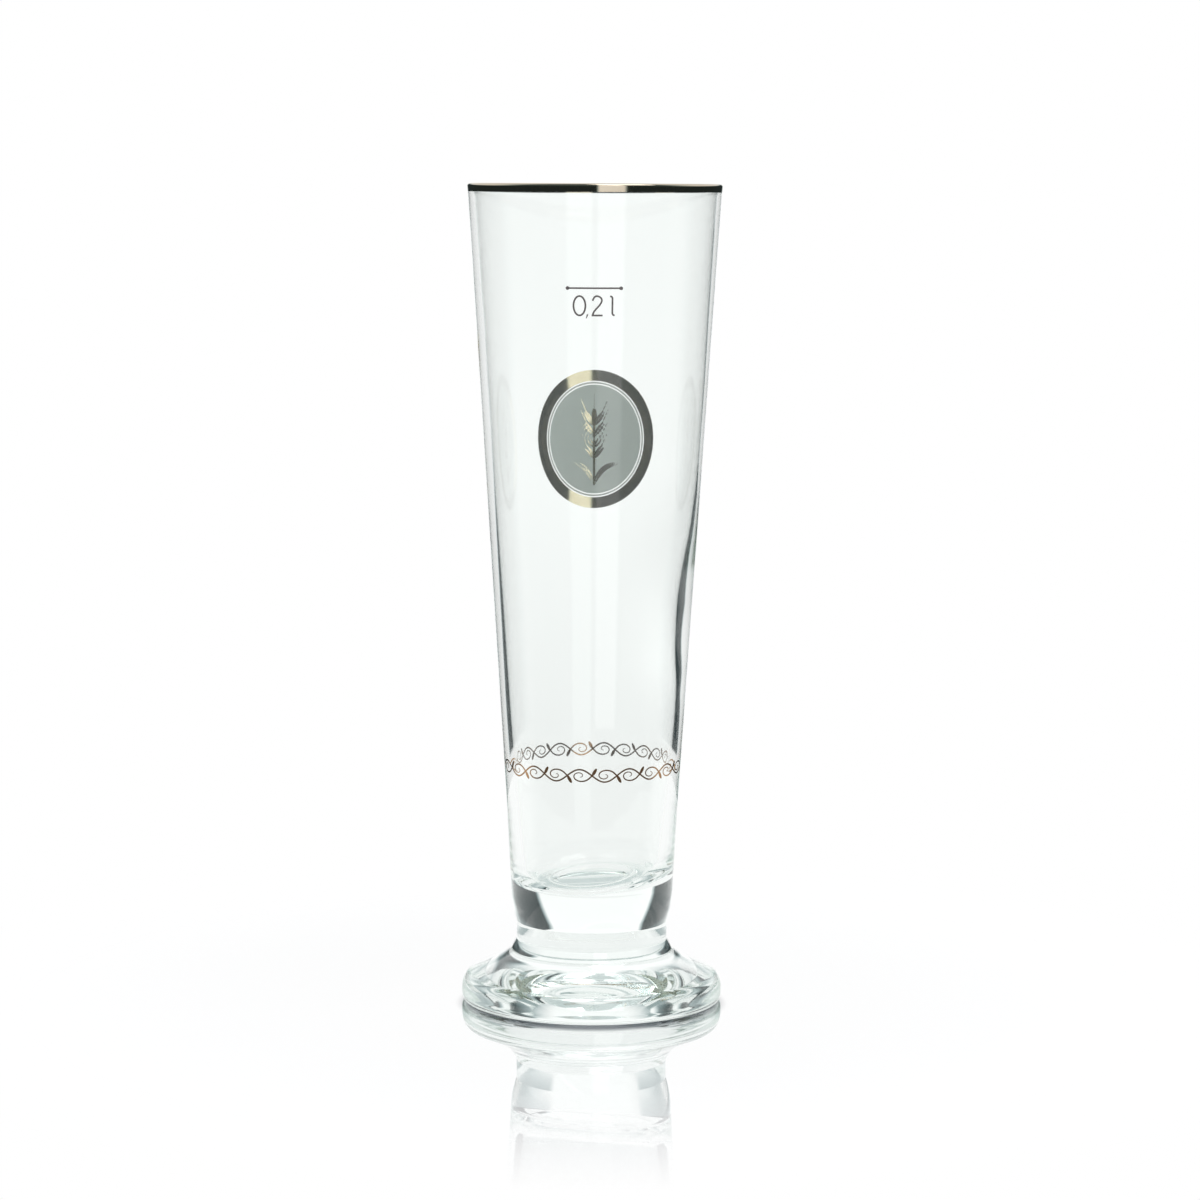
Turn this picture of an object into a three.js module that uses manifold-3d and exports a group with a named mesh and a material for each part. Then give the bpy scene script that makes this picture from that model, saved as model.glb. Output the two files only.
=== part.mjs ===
// A footed beer glass in millimetres, +Z up, with its origin at the middle of the ring that it stands on.
// Bowl, stem and foot are clear glass, fused to one another. The bowl carries a gilded lip and fired prints:
// a fill line with its volume on the near side (-Y), an oval badge on the far side (+Y) and a running
// ornament low on both sides.
import * as THREE from "three";
import { mergeVertices } from "three/addons/utils/BufferGeometryUtils.js";
import Module from "manifold-3d";

const wasm = await Module();
wasm.setup();

// Fineness of the facets
const TURN_STEPS = 60;
const FOOT_CURVE_STEPS = 4;
const BOWL_CURVE_STEPS = 3;
const OVAL_STEPS = 40;
const OVAL_RINGS = 5;
const STROKE_STEP = 1.2;
const FINE_STEP = 0.35;
const TENDRIL_STEP = 0.75;

// Overall
const GLASS_HEIGHT = 192;
const RIM_RADIUS = 29.6;

// Foot, from the floor up
const FOOT_RADIUS = 30.7;
const FOOT_HEIGHT = 14.5;
const PUNT_RADIUS = 22.5;
const PUNT_DEPTH = 2.2;
const REST_INSET = 1.6;
const EDGE_LOWER_RISE = 2;
const EDGE_SIDE_TOP = 2.6;
const EDGE_CROWN = 5.9;
const SHOULDER_INSET = 2.1;
const SHOULDER_HEIGHT = 6.7;
const WAIST_RISE = 3.2;
const WAIST_FLARE = 2.55;
const CREASE_FLARE = 1.15;
const CREASE_DROP = 2.1;

// Stem
const STEM_RADIUS = 17.75;
const STEM_LENGTH = 4.5;

// Bowl, outside
const HEEL_RISE = 9;
const HEEL_RADIUS = 19.15;
const HEEL_FULLNESS = 4.4;
const BEND_RISE = 19;
const BEND_RADIUS = 20.15;

// Bowl, inside
const HEEL_THICKNESS = 8.6;
const LOW_WALL = 3.2;
const RIM_WALL = 1.2;
const FLOOR_CORNER = 7.5;
const FLOOR_RING_RADIUS = 10.7;
const FLOOR_DISH = 0.8;

// Fire-polished lip and its gilding
const LIP_SWELL = 0.12;
const LIP_HEIGHT = 2.6;
const GILT_HEIGHT_OUTSIDE = 1.9;
const GILT_HEIGHT_INSIDE = 1.2;

// Fired prints: a film a little clear of the glass that carries it
const PRINT_GAP = 0.06;
const PRINT_THICKNESS = 0.14;

// Fill mark on the near side
const FILL_DROP = 23.4;
const FILL_LINE_LENGTH = 13;
const FILL_LINE_WIDTH = 0.38;
const FILL_DOT_RADIUS = 0.42;
const FIGURE_DROP = 3.95;
const FIGURE_HEIGHT = 4.75;
const FIGURE_STROKE = 0.4;
const ZERO_WIDTH = 3.1;
const ZERO_PLACE = -3.35;
const COMMA_LENGTH = 0.9;
const COMMA_PLACE = -1.5;
const TWO_WIDTH = 2.5;
const TWO_PLACE = 0.65;
const LITRE_HOOK = 0.55;
const LITRE_PLACE = 4.1;

// Badge on the far side
const BADGE_DROP = 61.3;
const BADGE_WIDTH = 30;
const BADGE_HEIGHT = 33;
const BADGE_FRAME = 2.6;
const BADGE_SLIT = 0.25;
const BADGE_HAIRLINE = 0.4;
const BARLEY_STALK = 6.5;
const BARLEY_STALK_WIDTH = 0.6;
const GRAIN_PAIRS = 4;
const GRAIN_LENGTH = 4.2;
const GRAIN_WIDTH = 1.35;
const GRAIN_PITCH = 2.6;
const GRAIN_LEAN = 0.62;
const AWN_LENGTH = 3.6;
const AWN_WIDTH = 0.34;
const BLADE_REACH = 6.2;
const BLADE_RISE = 5.2;
const BLADE_WIDTH = 1.3;

// Running ornament low on the bowl
const ORNAMENT_RISE = 9.5;
const ORNAMENT_LENGTH = 58;
const ORNAMENT_WAVES = 5;
const ORNAMENT_SWING = 1.45;
const ORNAMENT_STROKE = 0.36;
const TENDRIL_TURNS = 1.2;
const TENDRIL_EYE = 0.45;
const TENDRIL_SQUASH = 0.72;
const LEAF_LENGTH = 2;
const LEAF_WIDTH = 0.75;
const LEAF_LEAN = Math.PI / 3;
const STROKE_TIP = 0.14;

const NEAR = 0;
const FAR = Math.PI;

// Levels that follow from the sizes above
const stemTop = FOOT_HEIGHT + STEM_LENGTH;
const heelTop = stemTop + HEEL_RISE;
const bendTop = heelTop + BEND_RISE;
const floorLevel = stemTop + HEEL_THICKNESS;
const lipRadius = RIM_WALL / 2 + LIP_SWELL;
const lipCentre = RIM_RADIUS - RIM_WALL / 2;
const lipLevel = GLASS_HEIGHT - lipRadius;
const lipFoot = GLASS_HEIGHT - LIP_HEIGHT;

// The radius at a height on the straight line through two points of a profile.
function onLine(height, low, lowRadius, high, highRadius) {
  return THREE.MathUtils.mapLinear(height, low, high, lowRadius, highRadius);
}

// Outside of the bowl above its heel: two straight stretches that meet at the bend.
function outerRadius(height) {
  if (height < bendTop) {
    return onLine(height, heelTop, HEEL_RADIUS, bendTop, BEND_RADIUS);
  }
  return onLine(height, bendTop, BEND_RADIUS, GLASS_HEIGHT, RIM_RADIUS);
}

// Inside of the bowl: one straight stretch from the lip down to the floor's corner.
function innerRadius(height) {
  return onLine(height, bendTop, BEND_RADIUS - LOW_WALL, GLASS_HEIGHT, RIM_RADIUS - RIM_WALL);
}

// Glass near the lip, where it swells to the bead.
function lipOutside(height) {
  return onLine(height, lipFoot, outerRadius(lipFoot), lipLevel, lipCentre + lipRadius);
}

function lipInside(height) {
  return onLine(height, lipFoot, innerRadius(lipFoot), lipLevel, lipCentre - lipRadius);
}

// Turns a profile of radius and height round the glass's axis.
function turned(profile, curveSteps) {
  const solid = new THREE.LatheGeometry(profile.getPoints(curveSteps), TURN_STEPS);
  return solid.rotateX(Math.PI / 2);
}

function footSolid() {
  const shoulder = FOOT_RADIUS - SHOULDER_INSET;
  const waist = STEM_RADIUS + WAIST_FLARE;
  const profile = new THREE.Path();
  profile.moveTo(0, PUNT_DEPTH);
  profile.quadraticCurveTo(PUNT_RADIUS / 2, PUNT_DEPTH, PUNT_RADIUS, 0);
  profile.lineTo(FOOT_RADIUS - REST_INSET, 0);
  profile.quadraticCurveTo(FOOT_RADIUS, 0, FOOT_RADIUS, EDGE_LOWER_RISE);
  profile.lineTo(FOOT_RADIUS, EDGE_SIDE_TOP);
  profile.quadraticCurveTo(FOOT_RADIUS, EDGE_CROWN, shoulder, SHOULDER_HEIGHT);
  profile.quadraticCurveTo(
    waist,
    SHOULDER_HEIGHT + WAIST_RISE,
    STEM_RADIUS + CREASE_FLARE,
    FOOT_HEIGHT - CREASE_DROP,
  );
  profile.lineTo(STEM_RADIUS, FOOT_HEIGHT);
  profile.lineTo(0, FOOT_HEIGHT);
  return turned(profile, FOOT_CURVE_STEPS);
}

function stemSolid() {
  const profile = new THREE.Path();
  profile.moveTo(0, FOOT_HEIGHT);
  profile.lineTo(STEM_RADIUS, FOOT_HEIGHT);
  profile.lineTo(STEM_RADIUS, stemTop);
  profile.lineTo(0, stemTop);
  return turned(profile, FOOT_CURVE_STEPS);
}

function bowlSolid() {
  const cornerTop = floorLevel + FLOOR_CORNER;
  const profile = new THREE.Path();
  profile.moveTo(0, stemTop);
  profile.lineTo(STEM_RADIUS, stemTop);
  profile.quadraticCurveTo(HEEL_RADIUS, stemTop + HEEL_FULLNESS, HEEL_RADIUS, heelTop);
  profile.lineTo(BEND_RADIUS, bendTop);
  profile.lineTo(outerRadius(lipFoot), lipFoot);
  profile.lineTo(lipCentre + lipRadius, lipLevel);
  profile.absarc(lipCentre, lipLevel, lipRadius, 0, Math.PI);
  profile.lineTo(innerRadius(lipFoot), lipFoot);
  profile.lineTo(innerRadius(cornerTop), cornerTop);
  profile.quadraticCurveTo(innerRadius(floorLevel), floorLevel, FLOOR_RING_RADIUS, floorLevel + FLOOR_DISH);
  profile.quadraticCurveTo(FLOOR_RING_RADIUS / 2, floorLevel, 0, floorLevel);
  return turned(profile, BOWL_CURVE_STEPS);
}

// Gilding over the lip: the lip's own outline at two distances from the glass, joined at both ends.
function giltSolid() {
  const low = GLASS_HEIGHT - GILT_HEIGHT_OUTSIDE;
  const lowInside = GLASS_HEIGHT - GILT_HEIGHT_INSIDE;
  const near = PRINT_GAP;
  const far = PRINT_GAP + PRINT_THICKNESS;
  const profile = new THREE.Path();
  profile.moveTo(lipOutside(low) + near, low);
  profile.lineTo(lipOutside(low) + far, low);
  profile.absarc(lipCentre, lipLevel, lipRadius + far, 0, Math.PI);
  profile.lineTo(lipInside(lowInside) - far, lowInside);
  profile.lineTo(lipInside(lowInside) - near, lowInside);
  profile.absarc(lipCentre, lipLevel, lipRadius + near, Math.PI, 0, true);
  profile.closePath();
  return turned(profile, BOWL_CURVE_STEPS);
}

// Bends a flat print round the bowl. The print is drawn with x along the girth, y up and z outwards.
function wrapped(flat, level, turn) {
  const girth = outerRadius(level);
  const place = flat.getAttribute("position");
  for (let i = 0; i < place.count; i += 1) {
    const angle = turn + place.getX(i) / girth;
    const height = level + place.getY(i);
    const radius = outerRadius(height) + PRINT_GAP + place.getZ(i);
    place.setXYZ(i, radius * Math.sin(angle), -radius * Math.cos(angle), height);
  }
  return flat;
}

// A flat oval film: a ring of even width or, where the width is the whole half width, a filled oval.
function ovalFilm(halfWidth, halfHeight, band) {
  const hole = halfWidth - band;
  const holeHeight = hole > 0 ? halfHeight - band : 0;
  const rings = hole > 0 ? 1 : OVAL_RINGS;
  const below = [];
  const above = [];
  for (let ring = 0; ring <= rings; ring += 1) {
    const radius = THREE.MathUtils.lerp(hole, halfWidth, ring / rings);
    below.push(new THREE.Vector2(radius, 0));
    above.unshift(new THREE.Vector2(radius, PRINT_THICKNESS));
  }
  const outline = [...below, ...above];
  if (hole > 0) {
    outline.push(outline[0].clone());
  }
  const film = new THREE.LatheGeometry(outline, OVAL_STEPS).rotateX(Math.PI / 2);
  const place = film.getAttribute("position");
  for (let i = 0; i < place.count; i += 1) {
    const radius = Math.hypot(place.getX(i), place.getY(i));
    const tall = THREE.MathUtils.mapLinear(radius, hole, halfWidth, holeHeight, halfHeight);
    const stretch = radius > 0 ? tall / radius : 1;
    place.setY(i, place.getY(i) * stretch);
  }
  return film;
}

// A flat printed stroke along a curve: a long box bent to the curve, with its width given along the way.
function stroke(curve, widthAt, longestStep = STROKE_STEP) {
  const steps = Math.max(3, Math.ceil(curve.getLength() / longestStep));
  const film = new THREE.BoxGeometry(1, 1, PRINT_THICKNESS, steps, 1, 1);
  const place = film.getAttribute("position");
  for (let i = 0; i < place.count; i += 1) {
    const along = THREE.MathUtils.clamp(place.getX(i) + 0.5, 0, 1);
    const point = curve.getPoint(along);
    const heading = curve.getTangent(along);
    const across = place.getY(i) * widthAt(along);
    const out = place.getZ(i) + PRINT_THICKNESS / 2;
    place.setXYZ(i, point.x - heading.y * across, point.y + heading.x * across, out);
  }
  return film;
}

function evenWidth(width) {
  return () => width;
}

// Narrow at both ends and full between, as a leaf or a grain is.
function leafWidth(width) {
  return (along) => Math.max(STROKE_TIP, width * Math.sin(Math.PI * along));
}

// Full at the start and thin at the tip.
function taperWidth(width) {
  return (along) => THREE.MathUtils.lerp(width, STROKE_TIP, along);
}

function line(fromX, fromY, toX, toY) {
  return new THREE.LineCurve(new THREE.Vector2(fromX, fromY), new THREE.Vector2(toX, toY));
}

// A closed geometry as a solid that can be joined.
function solidOf(geometry) {
  const bare = geometry.clone();
  bare.deleteAttribute("normal");
  bare.deleteAttribute("uv");
  const merged = mergeVertices(bare);
  const vertProperties = new Float32Array(merged.getAttribute("position").array);
  const triVerts = new Uint32Array(merged.index.array);
  return new wasm.Manifold(new wasm.Mesh({ numProp: 3, vertProperties, triVerts }));
}

// Joins flat strokes that cross one another into one print.
function joined(strokes) {
  const whole = strokes.map(solidOf).reduce((sum, piece) => sum.add(piece)).getMesh();
  const print = new THREE.BufferGeometry();
  print.setAttribute("position", new THREE.BufferAttribute(whole.vertProperties, 3));
  print.setIndex(new THREE.BufferAttribute(whole.triVerts, 1));
  return print;
}

// A straight line that ends in a round dot on either side.
function fillLine() {
  const dotWidth = (distance) => 2 * Math.sqrt(Math.max(0, distance * (2 * FILL_DOT_RADIUS - distance)));
  const widthAt = (along) => {
    const distance = FILL_LINE_LENGTH * Math.min(along, 1 - along);
    return Math.max(FILL_LINE_WIDTH, dotWidth(distance));
  };
  return stroke(line(-FILL_LINE_LENGTH / 2, 0, FILL_LINE_LENGTH / 2, 0), widthAt, FINE_STEP);
}

function zeroFigure() {
  return ovalFilm(ZERO_WIDTH / 2, FIGURE_HEIGHT / 2, FIGURE_STROKE);
}

// The comma hangs from the figures' foot line.
function commaFigure() {
  const foot = -FIGURE_HEIGHT / 2;
  const fall = line(0, foot + COMMA_LENGTH / 2, -COMMA_LENGTH / 3, foot - COMMA_LENGTH / 2);
  return stroke(fall, taperWidth(FIGURE_STROKE));
}

// A round head, a neck that falls to the left and a straight foot.
function twoFigure() {
  const half = (TWO_WIDTH - FIGURE_STROKE) / 2;
  const top = (FIGURE_HEIGHT - FIGURE_STROKE) / 2;
  const head = new THREE.SplineCurve([
    new THREE.Vector2(-half, top - half),
    new THREE.Vector2(-half * 0.6, top - half * 0.25),
    new THREE.Vector2(0, top),
    new THREE.Vector2(half * 0.75, top - half * 0.35),
    new THREE.Vector2(half, top - half),
    new THREE.Vector2(half * 0.55, top - half * 1.9),
    new THREE.Vector2(-half * 0.6, -top + half * 0.9),
    new THREE.Vector2(-half, -top),
  ]);
  const foot = line(-half - FIGURE_STROKE / 2, -top, half + FIGURE_STROKE / 2, -top);
  const width = evenWidth(FIGURE_STROKE);
  return joined([stroke(head, width, FINE_STEP), stroke(foot, width)]);
}

// An upright with a small flag at its head and a hook at its foot.
function litreFigure() {
  const top = (FIGURE_HEIGHT - FIGURE_STROKE) / 2;
  const upright = new THREE.SplineCurve([
    new THREE.Vector2(-LITRE_HOOK, top),
    new THREE.Vector2(-LITRE_HOOK / 8, top - LITRE_HOOK / 2),
    new THREE.Vector2(0, top - LITRE_HOOK * 2),
    new THREE.Vector2(0, -top + LITRE_HOOK * 2),
    new THREE.Vector2(LITRE_HOOK / 8, -top + LITRE_HOOK / 2),
    new THREE.Vector2(LITRE_HOOK, -top),
  ]);
  return stroke(upright, evenWidth(FIGURE_STROKE), FINE_STEP);
}

// An ear of barley: a stalk with two blades, grains in pairs with a last one at the tip, an awn on each.
function barley() {
  const ear = (GRAIN_PAIRS - 1) * GRAIN_PITCH + GRAIN_LENGTH + AWN_LENGTH;
  const foot = -(BARLEY_STALK + ear) / 2;
  const earFoot = foot + BARLEY_STALK;
  const tipFoot = earFoot + (GRAIN_PAIRS - 1) * GRAIN_PITCH;
  const strokes = [stroke(line(0, foot, 0, tipFoot + GRAIN_LENGTH / 2), evenWidth(BARLEY_STALK_WIDTH))];
  const addGrain = (baseY, lean) => {
    const grainX = GRAIN_LENGTH * Math.sin(lean);
    const grainY = GRAIN_LENGTH * Math.cos(lean);
    const awnX = grainX + AWN_LENGTH * Math.sin(lean / 2);
    const awnY = grainY + AWN_LENGTH * Math.cos(lean / 2);
    const grain = line(0, baseY, grainX, baseY + grainY);
    const awn = line(grainX / 2, baseY + grainY / 2, awnX, baseY + awnY);
    strokes.push(stroke(grain, leafWidth(GRAIN_WIDTH)));
    strokes.push(stroke(awn, taperWidth(AWN_WIDTH)));
  };
  for (let pair = 0; pair < GRAIN_PAIRS; pair += 1) {
    addGrain(earFoot + pair * GRAIN_PITCH, -GRAIN_LEAN);
    addGrain(earFoot + pair * GRAIN_PITCH, GRAIN_LEAN);
  }
  addGrain(tipFoot, 0);
  for (const side of [-1, 1]) {
    const blade = new THREE.QuadraticBezierCurve(
      new THREE.Vector2(0, foot),
      new THREE.Vector2((side * BLADE_REACH) / 4, foot + BLADE_RISE),
      new THREE.Vector2(side * BLADE_REACH, foot + BLADE_RISE),
    );
    strokes.push(stroke(blade, leafWidth(BLADE_WIDTH)));
  }
  return joined(strokes);
}

// A curve of a flat ornament, given as a function from 0..1 to a point.
class FlatCurve extends THREE.Curve {
  constructor(pointAt) {
    super();
    this.pointAt = pointAt;
  }

  getPoint(along, target = new THREE.Vector2()) {
    const [x, y] = this.pointAt(along);
    return target.set(x, y);
  }
}

// A running scroll: a stem in even waves, a tendril that curls into the hollow of each half wave, and a
// leaf on the other side.
function ornament() {
  const wave = ORNAMENT_LENGTH / ORNAMENT_WAVES;
  const start = -ORNAMENT_LENGTH / 2;
  const halfWave = wave / 2;
  const swing = (x) => ORNAMENT_SWING * Math.sin((2 * Math.PI * (x - start)) / wave);
  const stem = new FlatCurve((along) => {
    const x = start + along * ORNAMENT_LENGTH;
    return [x, swing(x)];
  });
  const strokes = [stroke(stem, evenWidth(ORNAMENT_STROKE))];
  for (let half = 0; half < 2 * ORNAMENT_WAVES; half += 1) {
    const side = half % 2 === 0 ? 1 : -1;
    const crest = start + (half + 0.5) * halfWave;
    const crossing = crest + halfWave / 2;
    const tendril = new FlatCurve((along) => {
      const angle = -side * along * TENDRIL_TURNS * 2 * Math.PI;
      const reach = THREE.MathUtils.lerp(halfWave / 2, TENDRIL_EYE, Math.sqrt(along));
      return [crest + reach * Math.cos(angle), TENDRIL_SQUASH * reach * Math.sin(angle)];
    });
    const leafX = crossing + LEAF_LENGTH * Math.cos(LEAF_LEAN);
    const leaf = line(crossing, 0, leafX, side * LEAF_LENGTH * Math.sin(LEAF_LEAN));
    strokes.push(stroke(tendril, taperWidth(ORNAMENT_STROKE), TENDRIL_STEP));
    strokes.push(stroke(leaf, leafWidth(LEAF_WIDTH)));
  }
  return joined(strokes);
}

function clearGlass() {
  return new THREE.MeshStandardMaterial({
    color: "#e9f0ee",
    roughness: 0.03,
    transparent: true,
    opacity: 0.35,
  });
}

function gilding() {
  return new THREE.MeshStandardMaterial({ color: "#b08a55", roughness: 0.2, metalness: 1 });
}

function enamel(color) {
  return new THREE.MeshStandardMaterial({ color, roughness: 0.35 });
}

const glass = new THREE.Group();

function addPiece(name, geometry, material) {
  geometry.computeVertexNormals();
  const piece = new THREE.Mesh(geometry, material);
  piece.name = name;
  glass.add(piece);
}

addPiece("foot", footSolid(), clearGlass());
addPiece("stem", stemSolid(), clearGlass());
addPiece("bowl", bowlSolid(), clearGlass());
addPiece("rim_band", giltSolid(), gilding());

const fillLevel = GLASS_HEIGHT - FILL_DROP;
const figureLevel = fillLevel - FIGURE_DROP;
const figures = [
  ["volume_zero", zeroFigure(), ZERO_PLACE],
  ["volume_comma", commaFigure(), COMMA_PLACE],
  ["volume_two", twoFigure(), TWO_PLACE],
  ["volume_litre", litreFigure(), LITRE_PLACE],
];
addPiece("fill_line", wrapped(fillLine(), fillLevel, NEAR), enamel("#4a443e"));
for (const [name, figure, place] of figures) {
  figure.translate(place, 0, 0);
  addPiece(name, wrapped(figure, figureLevel, NEAR), enamel("#4a443e"));
}

const badgeLevel = GLASS_HEIGHT - BADGE_DROP;
const frameWidth = BADGE_WIDTH / 2;
const frameHeight = BADGE_HEIGHT / 2;
const hairInset = BADGE_FRAME + BADGE_SLIT;
const fieldInset = hairInset + BADGE_HAIRLINE + BADGE_SLIT;
const fieldWidth = frameWidth - fieldInset;
const badgeFrame = ovalFilm(frameWidth, frameHeight, BADGE_FRAME);
const badgeHairline = ovalFilm(frameWidth - hairInset, frameHeight - hairInset, BADGE_HAIRLINE);
const badgeField = ovalFilm(fieldWidth, frameHeight - fieldInset, fieldWidth);
const badgeBarley = barley().translate(0, 0, PRINT_THICKNESS + PRINT_GAP);
addPiece("badge_frame", wrapped(badgeFrame, badgeLevel, FAR), gilding());
addPiece("badge_hairline", wrapped(badgeHairline, badgeLevel, FAR), enamel("#d9dbd2"));
addPiece("badge_field", wrapped(badgeField, badgeLevel, FAR), enamel("#7f9290"));
addPiece("badge_barley", wrapped(badgeBarley, badgeLevel, FAR), gilding());

const ornamentLevel = bendTop + ORNAMENT_RISE;
addPiece("ornament_front", wrapped(ornament(), ornamentLevel, NEAR), gilding());
addPiece("ornament_back", wrapped(ornament(), ornamentLevel, FAR), gilding());

export default glass;
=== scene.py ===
"""A tall footed beer glass in clear glass, with a gilded lip and fired prints, in metres."""

import logging
import math
from dataclasses import dataclass, field
from enum import Enum
from typing import Any

import bpy
import numpy as np
from mathutils import Matrix, Vector


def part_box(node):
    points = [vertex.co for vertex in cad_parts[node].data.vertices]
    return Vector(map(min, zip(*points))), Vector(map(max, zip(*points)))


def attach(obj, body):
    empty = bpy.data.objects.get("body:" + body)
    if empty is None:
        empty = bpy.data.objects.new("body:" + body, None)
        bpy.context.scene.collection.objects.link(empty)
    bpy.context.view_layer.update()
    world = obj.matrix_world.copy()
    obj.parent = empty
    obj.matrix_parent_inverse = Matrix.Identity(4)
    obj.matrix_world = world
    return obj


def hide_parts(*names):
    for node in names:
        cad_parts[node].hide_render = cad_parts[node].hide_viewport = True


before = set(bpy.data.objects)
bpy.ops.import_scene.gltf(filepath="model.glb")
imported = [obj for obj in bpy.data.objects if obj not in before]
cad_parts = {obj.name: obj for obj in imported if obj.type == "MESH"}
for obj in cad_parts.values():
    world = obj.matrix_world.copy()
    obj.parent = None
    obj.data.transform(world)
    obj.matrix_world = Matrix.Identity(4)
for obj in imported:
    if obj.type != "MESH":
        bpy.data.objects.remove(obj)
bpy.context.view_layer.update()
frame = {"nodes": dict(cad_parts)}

MM = 0.001
BODY = "root"
HALF_TURN = 180.0
WHITE = (1.0, 1.0, 1.0, 1.0)
ROUND_STEPS = 192

# A count of a ray's bounces is over this from the first one on.
ONCE = 0.5

# A fired film lies a little in the glass and a little proud of it, and its strokes end in a blunt tip.
SUNK = 0.02 * MM
PROUD = 0.035 * MM
FILM_TIP = 0.14 * MM
FILM_CREASE = 0.7
FACE = "outer_face"

log = logging.getLogger("beer_glass")


class Ends(Enum):
    """How the rows of a skin begin and end."""

    JOINED = "the last row meets the first"
    CAPPED = "a flat face closes each end"
    POLES = "each end row is a single point"


class Side(Enum):
    """The side of the bowl that a print is on, as its turn from the front."""

    NEAR = 0.0
    FAR = math.pi


@dataclass
class Skin:
    """A closed surface: its points and its faces of four and of three corners."""

    points: np.ndarray
    quads: np.ndarray
    triangles: np.ndarray = field(default_factory=lambda: np.zeros((0, 3), int))

    def outward(self) -> "Skin":
        """Turns the faces round if the volume that they close counts as negative.

        Returns:
            The skin with its faces pointing out.
        """
        halves = [self.quads[:, [0, 1, 2]], self.quads[:, [0, 2, 3]], self.triangles]
        corners = self.points[np.concatenate(halves)]
        volume = np.einsum("ij,ij->", corners[:, 0], np.cross(corners[:, 1], corners[:, 2]))
        if volume < 0:
            return Skin(self.points, self.quads[:, ::-1], self.triangles[:, ::-1])
        return self


def skin(grid: np.ndarray, ends: Ends) -> Skin:
    """Closes a grid of points: every row is a loop, and the rows end as told.

    Args:
        grid: Points as an array of rows, columns and 3.
        ends: How the first and the last row are closed.

    Returns:
        The closed skin, with its faces pointing out.
    """
    rows, columns = grid.shape[:2]
    points = grid.reshape(-1, 3)
    index = np.arange(rows * columns).reshape(rows, columns)
    triangles = np.zeros((0, 3), int)
    if ends is Ends.POLES:
        points = np.concatenate([grid[0, :1], grid[1:-1].reshape(-1, 3), grid[-1, :1]])
        index = 1 + index[: rows - 2]
        first, last = index[0], index[-1]
        pole = np.zeros(columns, int)
        start = np.stack([pole, np.roll(first, -1), first], axis=1)
        end = np.stack([last, np.roll(last, -1), pole + len(points) - 1], axis=1)
        triangles = np.concatenate([start, end])
    low, high = index[:-1], index[1:]
    if ends is Ends.JOINED:
        low, high = index, np.roll(index, -1, axis=0)
    sides = [low, np.roll(low, -1, axis=1), np.roll(high, -1, axis=1), high]
    quads = np.stack(sides, axis=-1).reshape(-1, 4)
    if ends is Ends.CAPPED:
        across = np.arange(columns // 2 - 1)
        lid = np.stack([across, across + 1, columns - 2 - across, columns - 1 - across], axis=1)
        quads = np.concatenate([quads, index[0][lid][:, ::-1], index[-1][lid]])
    return Skin(points, quads, triangles).outward()


def joined(skins: list[Skin]) -> Skin:
    """Puts several closed skins into one.

    Args:
        skins: The skins to put together.

    Returns:
        One skin that holds them all.
    """
    shifts = np.cumsum([0] + [len(part.points) for part in skins[:-1]])
    return Skin(
        np.concatenate([part.points for part in skins]),
        np.concatenate([part.quads + shift for part, shift in zip(skins, shifts)]),
        np.concatenate([part.triangles + shift for part, shift in zip(skins, shifts)]),
    )


def eased(count: int) -> np.ndarray:
    """Counts from 0 to 1 with the steps closest at both ends: half of 1 less the cosine of a half turn."""
    return 0.5 - 0.5 * np.cos(np.linspace(0, math.pi, count))


def straight(start: tuple[float, float], end: tuple[float, float], count: int) -> np.ndarray:
    """Points on a straight line between two points, closest at its ends."""
    along = eased(count)[:, None]
    return np.array(start) * (1 - along) + np.array(end) * along


def bend(
    start: tuple[float, float], pull: tuple[float, float], end: tuple[float, float], count: int
) -> np.ndarray:
    """Points on a quadratic curve that leaves one point towards the pull and ends at the other.

    Args:
        start: First point.
        pull: The point that both end tangents run through.
        end: Last point.
        count: Number of points.

    Returns:
        The points, as rows of 2.
    """
    along = eased(count)[:, None]
    early, late = (1 - along) ** 2, along**2
    return np.array(start) * early + np.array(pull) * (1 - early - late) + np.array(end) * late


def chained(runs: list[np.ndarray]) -> np.ndarray:
    """Runs of points one after the other, where each starts at the last one's end."""
    return np.concatenate([runs[0]] + [run[1:] for run in runs[1:]])


def flow(knots: list[tuple[float, float]], count: int) -> np.ndarray:
    """A smooth line through points: the uniform Catmull-Rom cubic of each four in a row.

    Args:
        knots: The points that the line runs through.
        count: Number of points on the line.

    Returns:
        The points, as rows of 2.
    """
    held = np.array([knots[0], *knots, knots[-1]])
    place = np.linspace(0, len(knots) - 1, count)
    start = np.minimum(place.astype(int), len(knots) - 2)
    t = (place - start)[:, None]
    before, here, there, after = (held[start + step] for step in range(4))
    slope = there - before
    curve = 2 * before - 5 * here + 4 * there - after
    twist = 3 * here - before - 3 * there + after
    return 0.5 * (2 * here + slope * t + curve * t**2 + twist * t**3)


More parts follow.
